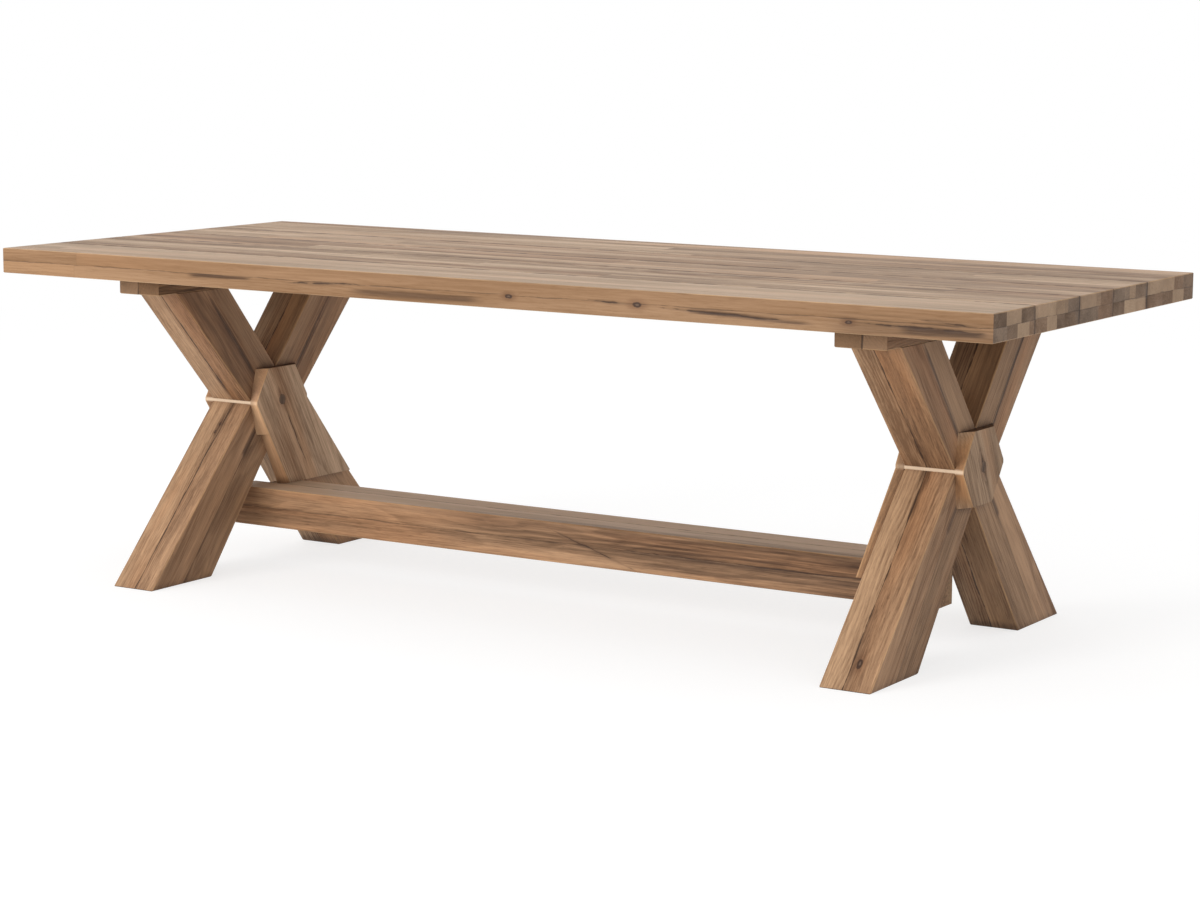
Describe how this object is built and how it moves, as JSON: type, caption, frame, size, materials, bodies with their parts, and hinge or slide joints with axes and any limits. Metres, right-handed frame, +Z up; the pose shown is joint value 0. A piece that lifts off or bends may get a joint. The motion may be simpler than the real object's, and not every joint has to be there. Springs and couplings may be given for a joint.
{
  "type": "sawbuck dining table",
  "caption": "Rectangular dining table: a thick two-layer plank top on X-shaped sawbuck trestles with chunky through hubs, joined by a low stretcher beam.",
  "frame": {"origin": "centre of the table's footprint, on the floor", "axes": "+X along the table, +Z up, -Y to the front"},
  "size_m": [2.44, 1.02, 0.76],
  "materials": {
    "top_timber": "hardwood planks glued from narrow strips, greyed light brown, matt oil",
    "leg_timber": "laminated reclaimed hardwood, warm mid brown with grey strips, matt oil",
    "bearer_timber": "hardwood strips, warm mid brown, matt oil",
    "stretcher_timber": "laminated reclaimed hardwood, mid brown, matt oil",
    "hub_timber": "hardwood block with a knot and drying cracks, grey brown, matt oil",
    "tenon_timber": "plain hardwood for tenons and plugs, unfinished",
    "steel": "zinc-plated steel"
  },
  "bodies": {
    "root": {"bearer_screws": "steel", "brace_foot_screws": "steel", "hub_bolts": "steel", "hub_nuts": "steel", "hub_plugs": "tenon_timber", "left_bearer_inner_strip": "bearer_timber", "left_bearer_outer_strip": "bearer_timber", "left_brace": "hub_timber", "left_hub": "hub_timber", "left_leg_front_lower_inner_back": "leg_timber", "left_leg_front_lower_inner_face": "leg_timber", "left_leg_front_lower_outer_back": "leg_timber", "left_leg_front_lower_outer_face": "leg_timber", "left_leg_front_upper_inner_back": "leg_timber", "left_leg_front_upper_inner_face": "leg_timber", "left_leg_front_upper_outer_back": "leg_timber", "left_leg_front_upper_outer_face": "leg_timber", "left_leg_rear_lower_inner_back": "leg_timber", "left_leg_rear_lower_inner_face": "leg_timber", "left_leg_rear_lower_outer_back": "leg_timber", "left_leg_rear_lower_outer_face": "leg_timber", "left_leg_rear_upper_inner_back": "leg_timber", "left_leg_rear_upper_inner_face": "leg_timber", "left_leg_rear_upper_outer_back": "leg_timber", "left_leg_rear_upper_outer_face": "leg_timber", "leg_tenons": "tenon_timber", "right_bearer_inner_strip": "bearer_timber", "right_bearer_outer_strip": "bearer_timber", "right_brace": "hub_timber", "right_hub": "hub_timber", "right_leg_front_lower_inner_back": "leg_timber", "right_leg_front_lower_inner_face": "leg_timber", "right_leg_front_lower_outer_back": "leg_timber", "right_leg_front_lower_outer_face": "leg_timber", "right_leg_front_upper_inner_back": "leg_timber", "right_leg_front_upper_inner_face": "leg_timber", "right_leg_front_upper_outer_back": "leg_timber", "right_leg_front_upper_outer_face": "leg_timber", "right_leg_rear_lower_inner_back": "leg_timber", "right_leg_rear_lower_inner_face": "leg_timber", "right_leg_rear_lower_outer_back": "leg_timber", "right_leg_rear_lower_outer_face": "leg_timber", "right_leg_rear_upper_inner_back": "leg_timber", "right_leg_rear_upper_inner_face": "leg_timber", "right_leg_rear_upper_outer_back": "leg_timber", "right_leg_rear_upper_outer_face": "leg_timber", "stretcher_front_lower": "stretcher_timber", "stretcher_front_upper": "stretcher_timber", "stretcher_pins": "steel", "stretcher_rear": "stretcher_timber", "top_plank_1_lower": "top_timber", "top_plank_1_upper": "top_timber", "top_plank_2_lower": "top_timber", "top_plank_2_upper": "top_timber", "top_plank_3_lower": "top_timber", "top_plank_3_upper": "top_timber", "top_plank_4_lower": "top_timber", "top_plank_4_upper": "top_timber", "top_plank_5_lower": "top_timber", "top_plank_5_upper": "top_timber"}
  },
  "joints": []
}
